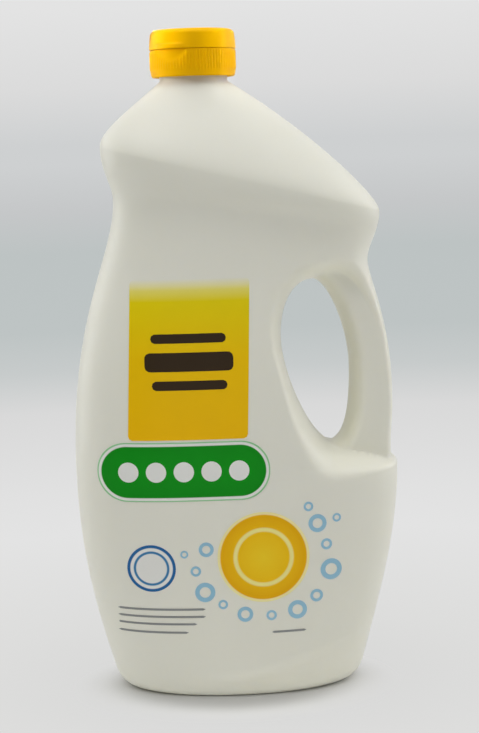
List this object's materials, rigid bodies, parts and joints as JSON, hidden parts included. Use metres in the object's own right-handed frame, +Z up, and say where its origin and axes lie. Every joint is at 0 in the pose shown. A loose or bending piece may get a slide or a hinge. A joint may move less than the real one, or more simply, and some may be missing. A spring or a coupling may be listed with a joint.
{
  "type": "dishwasher gel bottle",
  "caption": "Hollow blow-moulded gel bottle with a through handle, a sloping shoulder ridge, a screw cap with a flip lid and a plain printed front.",
  "frame": {"origin": "middle of the footprint box, on the surface that the bottle stands on", "axes": "+Z up, -Y the printed front, +X the handle side"},
  "size_m": [0.151, 0.0845, 0.305],
  "materials": {
    "white_polyethylene": "satin",
    "yellow_polypropylene": "semi-gloss",
    "yellow_ink": "satin",
    "green_ink": "satin",
    "amber_ink": "satin",
    "blue_ink": "satin"
  },
  "bodies": {
    "bottle_body": {"bottle": "white_polyethylene", "print_panel": "yellow_ink", "print_band": "green_ink", "print_disc": "amber_ink", "print_spot": "blue_ink"},
    "cap_base_body": {"cap_skirt": "yellow_polypropylene"},
    "lid_body": {"cap_lid": "yellow_polypropylene"}
  },
  "joints": [
    {"name": "cap_unscrew", "type": "hinge", "parent": "bottle_body", "child": "cap_base_body", "pos_m": [-0.0147, 0, 0.29], "axis": [0, 0, 1], "range_deg": [0, 380]},
    {"name": "lid_flip", "type": "hinge", "parent": "cap_base_body", "child": "lid_body", "pos_m": [-0.00283, 0.01634, 0.29595], "axis": [-0.809, 0.5878, 0], "range_deg": [0, 150]}
  ]
}
